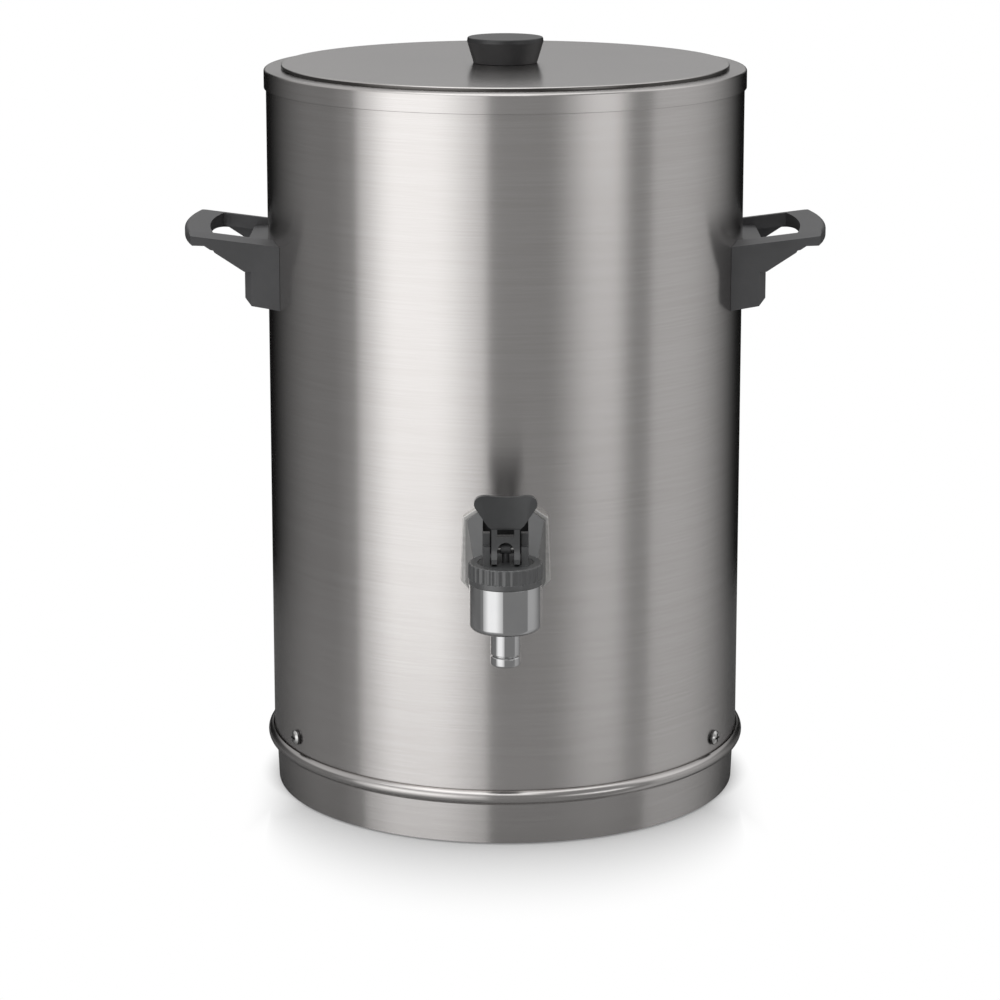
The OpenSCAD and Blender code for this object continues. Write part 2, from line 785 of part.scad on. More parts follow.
module tap_spout() {
    r = spout_d / 2;
    end = tap_bottom - spout_h;
    top = tap_bottom - seat_gap;
    groove_z = end + 6.2;
    color("gainsboro") translate([0, tap_y, 0]) difference() {
        lathe(concat(
            arc([r - 1.2, end + 1.2], 1.2, -90, 0, 4),
            arc([r - 1, groove_z - 1.6], 1, 0, 60, 3),
            [[r - 1.2, groove_z - 0.4], [r - 1.2, groove_z + 0.3], [r, groove_z + 0.9], [r, top],
             [spout_socket_r - thread_clear, top],
             [spout_socket_r - thread_clear, socket_end - seat_gap], [0, socket_end - seat_gap],
                 [0, end]]));
        translate([0, 0, end - 1]) cylinder(r = spout_bore_d / 2, h = spout_h + 10);
    }
}

module tap_ring_nut() {
    flute_r = 1.25;
    color("dimgray") translate([0, tap_y, 0]) difference() {
        lathe([
            [neck_r + thread_clear, tap_top + seat_gap], [ring_r - 0.5, tap_top + seat_gap],
            [ring_r, tap_top + 0.6], [ring_r, ring_top - 1], [ring_r - 1, ring_top],
                [ring_mouth_r, ring_top],
            [ring_mouth_r, ring_lip_z], [neck_r + thread_clear, ring_lip_z]]);
        for (i = [0:flutes - 1])
            rotate((i + 0.5) * 360 / flutes) translate([ring_r + flute_r * 0.45, 0, tap_top + 3])
                cylinder(r = flute_r, h = ring_h, $fn = 24);
    }
}

module tap_cap() {
    cheek_y = -8.6;
    cheek_back = 8.6;
    step_z = pin_z + 2;
    cheek_top = ring_top + 17;
    color("dimgray") translate([0, tap_y, 0]) difference() {
        union() {
            translate([0, 0, cap_z]) cylinder(r = cap_flange_r, h = cap_flange_h);
            translate([0, 0, cap_z]) cylinder(r = cap_r, h = ring_top - cap_z);
            for (side = [-1, 1])
                translate([side * (cheek_in + cheek_out) / 2, 0, 0]) rotate([90, 0, 90])
                    translate([0, 0, -(cheek_out - cheek_in) / 2])
                        linear_extrude(cheek_out - cheek_in) polygon([
                        [cheek_y, ring_top - 1], [cheek_y + 2.5, step_z - 2], [cheek_y + 3.5, step_z],
                        [cheek_y + 8.5, step_z], [cheek_y + 9.5, cheek_top], [cheek_back - 3, cheek_top],
                        [cheek_back, ring_top - 1]]);
        }
        translate([0, 0, cap_z - 1]) cylinder(r = seal_r + seat_gap, h = 1 + seal_h + seat_gap);
        translate([0, 0, cap_z]) cylinder(r = stem_r + run_clear, h = 20);
    }
}

// ---------------------------------------------------------------- tap: moving pieces

module tap_stem() {
    color("gray") translate([0, tap_y, 0]) difference() {
        union() {
            translate([0, 0, cup_z + 1.5])
                cylinder(r = cup_bore_r - thread_clear, h = collar_z - cup_z - 1.5 + eps);
            translate([0, 0, collar_z]) cylinder(r = collar_r, h = collar_h);
            translate([0, 0, collar_z]) cylinder(r = stem_r, h = pin_z - collar_z);
            translate([-stem_eye_w / 2, 0, pin_z]) rotate([0, 90, 0])
                cylinder(r = stem_eye_r, h = stem_eye_w);
        }
        translate([-stem_eye_w, 0, pin_z]) rotate([0, 90, 0])
            cylinder(r = pin_r + thread_clear, h = 2 * stem_eye_w);
    }
}

module lever_pin() {
    length = fork_w - 0.4;
    color("silver") translate([-length / 2, tap_y, pin_z]) rotate([0, 90, 0])
        cylinder(r = pin_r, h = length);
}

module stem_seal() {
    color("black") translate([0, tap_y, cap_z + seat_gap])
        ring(seal_r, stem_r + run_clear, seal_h - seat_gap);
}

module seat_cup() {
    color("white") translate([0, tap_y, cup_z]) difference() {
        lathe([
            [0, 0], [cup_r - 1, 0], [cup_r, 1], [cup_r - 0.5, 3.4], [4.4, cup_h], [0, cup_h]]);
        translate([0, 0, 1.4]) cylinder(r = cup_bore_r, h = cup_h);
    }
}

// Centre line of the spring: an open helix with a closed half turn at each end.
function spring_point(t) =
    let (rise_t = max(0, min(1, (t * spring_turns - 0.75) / (spring_turns - 1.5))))
    let (low = spring_z + wire_r)
    let (high = spring_top - wire_r)
    let (flat = wire_r * 2.3 * (min(0.75, t * spring_turns) + max(0, t * spring_turns - spring_turns + 0.75)))
    let (open = high - low - 2 * 0.75 * wire_r * 2.3)
    [spring_r * cos(360 * spring_turns * t), tap_y + spring_r * sin(360 * spring_turns * t),
     low + flat + open * rise_t];

module tap_spring() {
    rings = spring_turns * 12;
    sides = 6;
    corners = [for (i = [0:rings], s = [0:sides - 1])
        let (p = spring_point(i / rings), a = 360 * spring_turns * i / rings, b = 360 * s / sides)
        p + wire_r * [cos(b) * cos(a), cos(b) * sin(a), sin(b)]];
    skin = [for (i = [0:rings - 1], s = [0:sides - 1], half = [0, 1])
        let (a = i * sides + s, b = i * sides + (s + 1) % sides)
        half == 0 ? [a, a + sides, b] : [b, a + sides, b + sides]];
    first = [for (s = [1:sides - 2]) [0, s, s + 1]];
    last = [for (s = [1:sides - 2]) [rings * sides, rings * sides + s + 1, rings * sides + s]];
    color("silver") polyhedron(points = corners, faces = concat(skin, first, last));
}

// A point of the lever's toe, forward and up from the pin. The toe's curve keeps touching the cap while
// the lever tilts by an angle and the stem rises in proportion.
function toe_point(a) =
    let (drop = foot_h + toe_arm * a * PI / 180)
    [toe_arm * cos(a) + drop * sin(a), toe_arm * sin(a) - drop * cos(a)];

// Side view of the lever, forward and up from the pin.
module lever_profile() {
    toe = [for (i = [0:6]) toe_point(lever_travel * i / 6)];
    polygon(concat(
        [[-3.5, -foot_h + 0.8], [-2.7, -foot_h]], toe,
        [[toe_point(lever_travel)[0] - 0.6, -foot_h + 4], [7.2, -0.5], [5.2, 4], [4.6, paddle_foot],
         [8.2, paddle_top - 4], [9.8, paddle_top + 1], [5.2, paddle_top + 1], [2.6, paddle_top - 10],
         [0.4, paddle_foot], [-3.6, 3.5]]));
}

// Front view of the paddle, x across and z up from the pin.
module paddle_outline() {
    w = paddle_w / 2;
    f = paddle_foot_w / 2;
    corner = 5;
    dish_r = 60;
    dish = 1;
    difference() {
        polygon(concat(
            [[-f + 1.5, paddle_foot], [f - 1.5, paddle_foot], [f + 0.6, paddle_foot + 2]],
            arc([w - corner, paddle_top - corner], corner, -25, 90, 7),
            arc([-w + corner, paddle_top - corner], corner, 90, 205, 7),
            [[-f - 0.6, paddle_foot + 2]]));
        translate([0, paddle_top + dish_r - dish]) circle(r = dish_r);
    }
}

module tap_lever() {
    hole_r = pin_r + run_clear;
    inner = fork_w / 2 - leg_t;
    face_y = 4.6;
    face_lean = 10;
    hollow_r = 60;
    hollow_deep = 1.2;
    color("dimgray") translate([0, tap_y, pin_z]) difference() {
        intersection() {
            // side profile with forward turned to -Y
            translate([-30, 0, 0]) rotate([90, 0, 90]) linear_extrude(60) mirror([1, 0]) lever_profile();
            rotate([90, 0, 0]) translate([0, 0, -20]) linear_extrude(50) union() {
                for (side = [-1, 1])
                    translate([side * (inner + leg_t / 2) - leg_t / 2, -foot_h - 1])
                        square([leg_t, foot_h + 1 + paddle_foot + 2]);
                // web between the legs, arched over the stem's eye
                difference() {
                    translate([-inner - 1, 1]) square([2 * inner + 2, 7]);
                    circle(r = norm([stem_eye_w / 2, stem_eye_r]) + 0.4);
                }
                paddle_outline();
            }
        }
        translate([-20, 0, 0]) rotate([0, 90, 0]) cylinder(r = hole_r, h = 40);
        // shallow thumb hollow down the paddle's front
        translate([0, -face_y, paddle_foot]) rotate([face_lean, 0, 0])
            translate([0, hollow_deep - hollow_r, 0]) cylinder(r = hollow_r, h = 2 * paddle_top);
    }
}

// ---------------------------------------------------------------- heater and wiring

module heating_element() {
    a = element_gap_angle;
    color("gray") union() {
        translate([0, 0, element_z]) rotate(90 + a) rotate_extrude(angle = 360 - 2 * a)
            translate([element_ring_r, 0]) circle(r = element_r);
        for (side = [-1, 1]) rotate(90 + side * a) translate([element_ring_r, 0, 0]) {
            translate([0, 0, cold_end_z])
                cylinder(r = element_r + 0.7, h = element_z + element_r - cold_end_z);
            translate([0, 0, cold_end_z - 8]) cylinder(r = 1.5, h = 9);
        }
    }
}

module element_plate() {
    color("lightgray") difference() {
        translate([0, 0, plate_under]) cylinder(r = element_plate_r, h = element_plate_t);
        stud_places() translate([0, 0, plate_under - 1]) cylinder(r = stud_r + hole_clear, h = 6);
    }
}

module stud_places() {
    for (a = [30, 150, 270])
        rotate(a) translate([stud_ring_r, 0, 0]) children();
}

module element_clamp() {
    color("silver") difference() {
        translate([0, 0, clamp_top - clamp_t]) ring(element_ring_r + 9, stud_ring_r - 9, clamp_t);
        stud_places() translate([0, 0, clamp_top - 4]) cylinder(r = stud_r + hole_clear, h = 6);
        rotate(90) translate([20, -element_ring_r * sin(element_gap_angle) - 8, clamp_top - 4])
            cube([element_ring_r, 2 * element_ring_r * sin(element_gap_angle) + 16, 6]);
    }
}

module element_studs() {
    color("silver") stud_places() translate([0, 0, stud_end_z])
        cylinder(r = stud_r, h = plate_top - stud_end_z);
}

module element_nuts() {
    color("silver") stud_places() translate([0, 0, clamp_top - clamp_t - seat_gap - 4]) difference() {
        cylinder(r = 4.6, h = 4, $fn = 6);
        translate([0, 0, -1]) cylinder(r = stud_r + thread_clear, h = 6);
    }
}

// A disc sensor on the element plate's underside, with two tabs.
module sensor(x) {
    translate([x, 0, plate_under - seat_gap - sensor_h]) {
        cylinder(r = sensor_r * 0.8, h = sensor_h);
        translate([0, 0, sensor_h - 4]) cylinder(r = sensor_r, h = 4);
        for (side = [-1, 1])
            translate([-3.15, side * tab_y - 0.4, -tab_h]) cube([6.3, 0.8, tab_h + eps]);
    }
}

module thermostat() {
    color("black") sensor(-sensor_pos);
}

module thermal_cutout() {
    color("black") sensor(sensor_pos);
}

module terminal_block() {
    color("white") translate([0, block_pos_y, pan_floor + seat_gap]) difference() {
        translate([-20, -9, 0]) cube([40, 18, 16]);
        for (x = [-terminal_x, 0, terminal_x], y = [-terminal_y, terminal_y])
            translate([x, y, terminal_z]) cylinder(r = terminal_r + seat_gap, h = 10);
    }
}

module terminal_screws() {
    color("gold") for (x = [-terminal_x, 0, terminal_x], y = [-terminal_y, terminal_y])
        translate([x, block_pos_y + y, pan_floor + 2 * seat_gap + terminal_z])
            cylinder(r = terminal_r, h = 5);
}

module earth_stud() {
    color("gold") translate([earth_x, block_pos_y, 0]) {
        translate([0, 0, pan_z - 2.1]) cylinder(r = earth_head_r, h = 2);
        translate([0, 0, pan_z - 0.2]) cylinder(r = earth_r, h = 15);
        translate([0, 0, pan_floor + seat_gap]) cylinder(r = 4, h = 3.2, $fn = 6);
    }
}

// A lead that runs straight between the given points.
module lead(points) {
    r = 1.3;
    for (i = [0:len(points) - 2]) {
        d = points[i + 1] - points[i];
        turn = atan2(d[1], d[0]);
        tilt = atan2(norm([d[0], d[1]]), d[2]);
        translate(points[i]) rotate([0, tilt, turn]) cylinder(r = r, h = norm(d), $fn = 48);
        if (i > 0) translate(points[i]) sphere(r = r + 0.3, $fn = 48);
    }
}

module internal_leads() {
    top = pan_floor + 17.6;
    tab = plate_under - seat_gap - sensor_h - tab_h - seat_gap;
    pin_end = cold_end_z - 8 - seat_gap;
    end_x = element_ring_r * sin(element_gap_angle);
    end_y = element_ring_r * cos(element_gap_angle);
    color("firebrick") union() {
        lead([[-terminal_x, block_pos_y - 6, top], [-24, 46, 60], [-sensor_pos, tab_y, 96],
            [-sensor_pos, tab_y, tab]]);
        lead([[-sensor_pos, -tab_y, tab], [-sensor_pos, -tab_y, 96], [0, -18, 90], [sensor_pos, -tab_y, 96],
              [sensor_pos, -tab_y, tab]]);
        lead([[sensor_pos, tab_y, tab], [sensor_pos, tab_y, 96], [end_x + 8, 58, 90], [end_x, end_y, 90],
              [end_x, end_y, pin_end]]);
        lead([[terminal_x, block_pos_y - 6, top], [6, 50, 60], [-end_x, end_y - 8, 80], [-end_x, end_y, 90],
              [-end_x, end_y, pin_end]]);
    }
}

// The cord gland's flange and thread; the cord isn't part of the model.
module cord_gland() {
    color("black") difference() {
        union() {
            difference() {
                hex_y(gland_flats, jacket_r - 6, gland_flange_y, z = gland_z);
                inside(jacket_r + 1 + seat_gap);
            }
            bar_y(gland_r, jacket_r - 14, jacket_r + 3, z = gland_z);
        }
        bar_y(gland_inner_r, jacket_r - 20, gland_flange_y + 5, z = gland_z);
    }
}

module gland_cap() {
    start = gland_flange_y + seat_gap;
    color("black") translate([0, start, gland_z]) rotate([-90, 0, 0]) difference() {
        lathe(concat([[0, 0], [11.5, 0], [11.5, 8]], arc([7.5, 10], 4, 0, 90, 5), [[0, 14]]));
        translate([0, 0, -1]) cylinder(r = gland_bore_r, h = 20);
    }
}

module gland_seal() {
    color("dimgray") difference() {
        bar_y(gland_flats / 2, jacket_r - 6, jacket_r + 4, z = gland_z);
        bar_y(gland_r + seat_gap, jacket_r - 9, jacket_r + 9, z = gland_z);
        inside(jacket_r + seat_gap);
        difference() {
            cylinder(r = jacket_r + 20, h = 200);
            translate([0, 0, -1]) cylinder(r = jacket_r + 1, h = 202);
        }
    }
}

module gland_nut() {
    color("black") difference() {
        intersection() {
            hex_y(gland_flats, jacket_r - 8, jacket_r + 3, z = gland_z);
            inside(jacket_in_r - seat_gap);
        }
        bar_y(gland_r + thread_clear, jacket_r - 20, jacket_r + 9, z = gland_z);
    }
}

lid_panel();
lid_pan();
lid_insulation();
lid_knob();
knob_insert();
knob_screw();
knob_washer();
vessel();
jacket();
insulation_sleeve();
base_ring();
base_pan();
base_screws();
base_screw_nuts();
rubber_feet();
foot_retainers();
handle_left();
handle_right();
handle_plates();
handle_screws();
tap_wall_plate();
tap_neck_cover();
tap_outer_seal();
tap_spacer();
tap_inner_seal();
tap_lock_nut();
tap_body();
tap_spout();
tap_ring_nut();
tap_cap();
tap_stem();
lever_pin();
stem_seal();
seat_cup();
tap_spring();
tap_lever();
heating_element();
element_plate();
element_clamp();
element_studs();
element_nuts();
thermostat();
thermal_cutout();
terminal_block();
terminal_screws();
earth_stud();
internal_leads();
cord_gland();
gland_cap();
gland_seal();
gland_nut();
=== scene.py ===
import json
import math
import bpy
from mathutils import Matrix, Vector


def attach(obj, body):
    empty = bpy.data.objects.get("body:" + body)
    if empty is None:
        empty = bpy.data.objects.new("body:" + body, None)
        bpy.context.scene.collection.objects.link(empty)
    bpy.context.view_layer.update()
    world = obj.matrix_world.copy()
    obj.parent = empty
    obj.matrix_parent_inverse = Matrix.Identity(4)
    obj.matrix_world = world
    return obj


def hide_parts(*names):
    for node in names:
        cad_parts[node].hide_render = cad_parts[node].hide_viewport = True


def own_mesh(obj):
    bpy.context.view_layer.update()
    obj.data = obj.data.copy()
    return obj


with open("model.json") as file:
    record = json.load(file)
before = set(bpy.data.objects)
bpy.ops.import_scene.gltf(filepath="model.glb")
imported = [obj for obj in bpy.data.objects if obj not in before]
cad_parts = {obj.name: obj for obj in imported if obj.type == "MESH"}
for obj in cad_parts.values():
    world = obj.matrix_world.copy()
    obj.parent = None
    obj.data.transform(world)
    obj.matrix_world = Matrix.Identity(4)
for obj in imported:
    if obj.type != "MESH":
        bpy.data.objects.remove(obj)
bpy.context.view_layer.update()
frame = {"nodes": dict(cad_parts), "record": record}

# lengths in the dictionaries below are millimetres, except where a note says metres
mm = 0.001
tapY = -195.0  # the tap's axis
weldGap = 0.002  # points closer than this are merged


def pickNothing():
    for thing in bpy.context.selected_objects:
        thing.select_set(False)


def pick(piece):
    pickNothing()
    piece.select_set(True)
    bpy.context.view_layer.objects.active = piece


def startEdit(piece):
    pick(piece)
    bpy.ops.object.mode_set(mode="EDIT")
    bpy.ops.mesh.select_all(action="DESELECT")


def endEdit():
    bpy.ops.object.mode_set(mode="OBJECT")


def named(name):
    piece = bpy.context.object
    piece.name = piece.data.name = name
    bpy.ops.object.transform_apply(location=True, rotation=True, scale=True)
    return piece


def pickVerts(piece, test):
    # selects the points that pass a test, from inside edit mode
    bpy.ops.mesh.select_mode(type="VERT")
    bpy.ops.mesh.select_all(action="DESELECT")
    bpy.ops.object.mode_set(mode="OBJECT")
    for vert in piece.data.vertices:
        vert.select = bool(test(vert.co / mm))
    bpy.ops.object.mode_set(mode="EDIT")


def applyAll(piece):
    pick(piece)
    for modifier in list(piece.modifiers):
        bpy.ops.object.modifier_apply(modifier=modifier.name)


def softEdges(piece, width, segments, angle=30):
    edge = piece.modifiers.new("edges", "BEVEL")
    edge.width, edge.segments, edge.limit_method = width * mm, segments, "ANGLE"
    edge.angle_limit, edge.use_clamp_overlap = math.radians(angle), True
    applyAll(piece)


def smooth(piece, angle=40):
    pick(piece)
    bpy.ops.object.shade_smooth_by_angle(angle=math.radians(angle))
    normals = piece.modifiers.new("normals", "WEIGHTED_NORMAL")
    normals.keep_sharp = True
    applyAll(piece)


def eased(corners, closed, steps):
    # puts an arc at each corner that carries a third number, its radius
    line, count = [], len(corners)
    for i, corner in enumerate(corners):
        here = Vector(corner[:2])
        if len(corner) < 3 or (not closed and i in (0, count - 1)):
            line.append(here)
            continue
        before = (Vector(corners[i - 1][:2]) - here).normalized()
        after = (Vector(corners[(i + 1) % count][:2]) - here).normalized()
        half = before.angle(after) / 2
        reach = corner[2] / math.tan(half)
        middle = here + (before + after).normalized() * corner[2] / math.sin(half)
        first, last = here + before * reach - middle, here + after * reach - middle
        for k in range(steps + 1):
            share = k / steps
            line.append(middle + (first * (1 - share) + last * share).normalized() * corner[2])
    return line + line[:1] if closed else line


def arc(centre, radius, start, end, steps):
    angles = [math.radians(start + (end - start) * k / steps) for k in range(steps + 1)]
    return [(centre[0] + radius * math.cos(a), centre[1] + radius * math.sin(a)) for a in angles]


def turned(name, corners, at=(0, 0), steps=256, closed=True, rounds=4):
    # spins an outline of radius and height about an upright axis
    line = eased(corners, closed, rounds)
    centre = (at[0] * mm, at[1] * mm, 0)
    pickNothing()
    bpy.ops.mesh.primitive_plane_add(
        size=mm, location=(centre[0] + line[0][0] * mm, centre[1], line[0][1] * mm))
    piece = named(name)
    startEdit(piece)
    bpy.ops.mesh.select_all(action="SELECT")
    bpy.ops.mesh.merge(type="CENTER")
    for a, b in zip(line, line[1:]):
        step = (b - a) * mm
        bpy.ops.mesh.extrude_vertices_move(TRANSFORM_OT_translate={"value": (step[0], 0, step[1])})
    bpy.ops.mesh.select_all(action="SELECT")
    bpy.ops.mesh.spin(steps=steps, angle=2 * math.pi, center=centre, axis=(0, 0, 1))
    bpy.ops.mesh.select_all(action="SELECT")
    bpy.ops.mesh.remove_doubles(threshold=weldGap * mm)
    bpy.ops.mesh.normals_make_consistent(inside=False)
    endEdit()
    return piece


def lay(piece, turn, move):
    # turns a finished shape about the origin and puts it in its place
    piece.rotation_euler = [math.radians(a) for a in turn]
    piece.location = [v * mm for v in move]
    pick(piece)
    bpy.ops.object.transform_apply(location=True, rotation=True, scale=True)
    return piece


def copies(piece, places):
    # one mesh each, turned about the origin
    made = [piece]
    for i, turn in enumerate(places[1:], 2):
        pick(piece)
        bpy.ops.object.duplicate()
        other = bpy.context.object
        other.name = other.data.name = f"{piece.name}{i}"
        made.append(lay(other, (0, 0, turn), (0, 0, 0)))
    lay(piece, (0, 0, places[0]), (0, 0, 0))
    return made


def joined(name, parts):
    pickNothing()
    for part in parts:
        part.select_set(True)
    bpy.context.view_layer.objects.active = parts[0]
    bpy.ops.object.join()
    parts[0].name = parts[0].data.name = name
    return parts[0]


def refined(node, name, width, segments=3, flatAngle=0.4):
    # a merged copy of a CAD node with its edges rounded
    pick(frame["nodes"][node])
    bpy.ops.object.duplicate()
    piece = bpy.context.object
    piece.parent = None
    for key in [k for k in piece.keys() if k.startswith("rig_")]:
        del piece[key]
    piece.name = piece.data.name = name
    startEdit(piece)
    bpy.ops.mesh.select_all(action="SELECT")
    bpy.ops.mesh.remove_doubles(threshold=weldGap * mm)
    bpy.ops.mesh.customdata_custom_splitnormals_clear()
    bpy.ops.mesh.select_all(action="SELECT")
    bpy.ops.mesh.dissolve_limited(angle_limit=math.radians(flatAngle), delimit={"NORMAL"})
    endEdit()
    softEdges(piece, width, segments)
    smooth(piece)
    return piece


def cut(piece, tool):
    take = piece.modifiers.new("cut", "BOOLEAN")
    take.object, take.operation, take.solver = tool, "DIFFERENCE", "EXACT"
    applyAll(piece)
    bpy.data.objects.remove(tool)


class Value:
    # wraps a socket, so that shader maths is written as plain expressions
    def __init__(self, tree, socket):
        self.tree, self.socket = tree, socket

    def put(self, slot):
        self.tree.links.new(self.socket, slot)

    def math(self, operation, first, second):
        node = self.tree.nodes.new("ShaderNodeMath")
        node.operation = operation
        for slot, item in zip(node.inputs, (first, second)):
            if isinstance(item, Value):
                item.put(slot)
            else:
                slot.default_value = item
        return Value(self.tree, node.outputs[0])

    def __add__(self, other):
        return self.math("ADD", self, other)

    def __sub__(self, other):
        return self.math("SUBTRACT", self, other)

    def __rsub__(self, other):
        return self.math("SUBTRACT", other, self)

    def __mul__(self, other):
        return self.math("MULTIPLY", self, other)


class Nodes:
    def __init__(self, tree):
        self.tree = tree
        tree.nodes.clear()

    def add(self, kind, settings=None, inputs=None, out=0):
        node = self.tree.nodes.new("ShaderNode" + kind)
        for key, value in (settings or {}).items():
            setattr(node, key, value)
        for key, value in (inputs or {}).items():
            if isinstance(value, Value):
                value.put(node.inputs[key])
            else:
                node.inputs[key].default_value = value
        return Value(self.tree, node.outputs[out]) if node.outputs else None

    def math(self, operation, first, second=0):
        return first.math(operation, first, second)

    def spot(self):
        return self.add("TexCoord", out="Object")

    def axes(self, vector):
        outputs = self.add("SeparateXYZ", None, {0: vector}).socket.node.outputs
        return [Value(self.tree, outputs[i]) for i in range(3)]

    def noise(self, scale, detail, rough, stretch=(1, 1, 1)):
        place = self.add("Mapping", {"vector_type": "POINT"}, {"Vector": self.spot(), "Scale": stretch})
        return self.add("TexNoise", None, {"Vector": place, "Scale": scale, "Detail": detail,
                                           "Roughness": rough})

    def spread(self, value, low, high, to0=0.0, to1=1.0):
        return self.add("MapRange", {"interpolation_type": "SMOOTHSTEP"},
                        {"Value": value, "From Min": low, "From Max": high, "To Min": to0, "To Max": to1})

    def blendColour(self, mask, first, second):
        ends = {0: mask, 6: (*first, 1), 7: (*second, 1)}
        return self.add("Mix", {"data_type": "RGBA"}, ends, out=2)

    def shaded(self, mask, tone, colour):
        # a dark tone where the mask is 0, the colour where it is 1
        return self.add("Mix", {"data_type": "RGBA"}, {0: mask, 6: (*tone, 1), 7: colour}, out=2)

    def bump(self, height, strength, distance):
        return self.add("Bump", None, {"Height": height, "Strength": strength, "Distance": distance})


def newMaterial(name):
    material = bpy.data.materials.new(name)
    material.use_nodes = True
    return material, Nodes(material.node_tree)


def finish(n, base, rough, metallic, normal, constants=None):
    # the surface node of a material: what varies is linked, the rest is set
    inputs = {"Metallic": metallic, "Base Color": base, "Roughness": rough, "Normal": normal}
    shader = n.add("BsdfPrincipled", None, {**inputs, **(constants or {})})
    n.add("OutputMaterial", None, {"Surface": shader})


steelLook = {"colour": (0.60, 0.581, 0.570), "dark": (0.565, 0.543, 0.530), "rough": 0.25,
             "roughSwing": 0.05, "cloudSwing": 0.05, "anisotropy": 0.9, "turn": 0.25, "streaks": 1800,
             "fineShare": 0.72, "fineBump": 0.03}


def brushedSteel(name, stretch, look=steelLook, anisotropic=True):
    # stretch is small along the brushing and 1 across it
    material, n = newMaterial(name)
    fine = n.noise(look["streaks"], 4, 0.65, stretch)
    broad = n.noise(look["streaks"] / 9, 3, 0.5, stretch)
    cloud = n.noise(9, 3, 0.5)
    mix = fine * look["fineShare"] + broad * (1 - look["fineShare"])
    colour = n.blendColour(n.spread(mix, 0.35, 0.65), look["dark"], look["colour"])
    # painted shade: below the given heights the colour turns to a dark tone, standing for the shadow at
    # the lid's edge
    if "seam" in look:
        low, high, tone = look["seam"]
        colour = n.shaded(n.spread(n.axes(n.spot())[2], low, high), tone, colour)
    swing, cloudSwing = look["roughSwing"], look["cloudSwing"]
    rough = mix * swing + cloud * cloudSwing + (look["rough"] - (swing + cloudSwing) / 2)
    brushing = {"Anisotropic": look["anisotropy"], "Anisotropic Rotation": look["turn"]}
    finish(n, colour, rough, 1.0, n.bump(mix, look["fineBump"], 0.0002), brushing if anisotropic else None)
    return material


def plastic(name, colour, rough, grain=1400, bumpAmount=0.12, specular=0.5, slot=None, swing=0.12):
    material, n = newMaterial(name)
    texture = n.noise(grain, 2, 0.6)
    cloud = n.noise(25, 4, 0.6)
    lighter = tuple(min(1, c * 1.25 + 0.004) for c in colour)
    base = n.blendColour(n.spread(cloud, 0.3, 0.75), colour, lighter)
    if slot:
        # painted shade in a deep slot, which is given a near-black tone: its half width and its floor's
        # height in metres, and its tone
        half, floor, tone = slot
        soft = 0.0002
        x, y, z = n.axes(n.spot())
        outside = n.spread(n.math("ABSOLUTE", x), half, half + soft)
        base = n.shaded(n.math("MAXIMUM", outside, n.spread(z, floor - soft, floor, 1, 0)), tone, base)
    finish(n, base, cloud * swing + (rough - swing / 2), 0.0, n.bump(texture, bumpAmount, 0.0003),
           {"Specular IOR Level": specular})
    return material


chromeLook = {"dark": (0.52, 0.52, 0.525), "colour": (0.55, 0.55, 0.55), "rough": (0.05, 0.12),
              "smudge": 60}


def chromePlate(name, look):
    material, n = newMaterial(name)
    smudge = n.noise(look["smudge"], 5, 0.6)
    base = n.blendColour(n.spread(smudge, 0.2, 0.8), look["dark"], look["colour"])
    rough = n.spread(smudge, 0.45, 0.8, *look["rough"])
    finish(n, base, rough, 1.0, n.bump(smudge, 0.02, 0.0003))
    return material


def plainMetal(name, colour, rough, grain=300, stretch=(1, 1, 1), recessShade=None, swing=0.15):
    material, n = newMaterial(name)
    grainy = n.noise(grain, 3, 0.6, stretch)
    darker = tuple(c * 0.85 for c in colour)
    base = n.blendColour(n.spread(grainy, 0.3, 0.7), darker, colour)
    if recessShade:
        # painted shade in the slots and under the head: two distances from the upright axis in metres, and
        # a tone
        low, high, tone = recessShade
        x, y, z = n.axes(n.spot())
        base = n.shaded(n.spread(n.math("SQRT", x * x + y * y), low, high), tone, base)
    finish(n, base, grainy * swing + (rough - swing / 2), 1.0, n.bump(grainy, 0.05, 0.0003))
    return material


def softMaterial(name, colour, rough, grain, bumpAmount, swing=0.1):
    material, n = newMaterial(name)
    grainy = n.noise(grain, 4, 0.6)
    darker = tuple(c * 0.78 for c in colour)
    base = n.blendColour(n.spread(grainy, 0.3, 0.7), darker, colour)
    finish(n, base, grainy * swing + (rough - swing / 2), 0.0, n.bump(grainy, bumpAmount, 0.001))
    return material


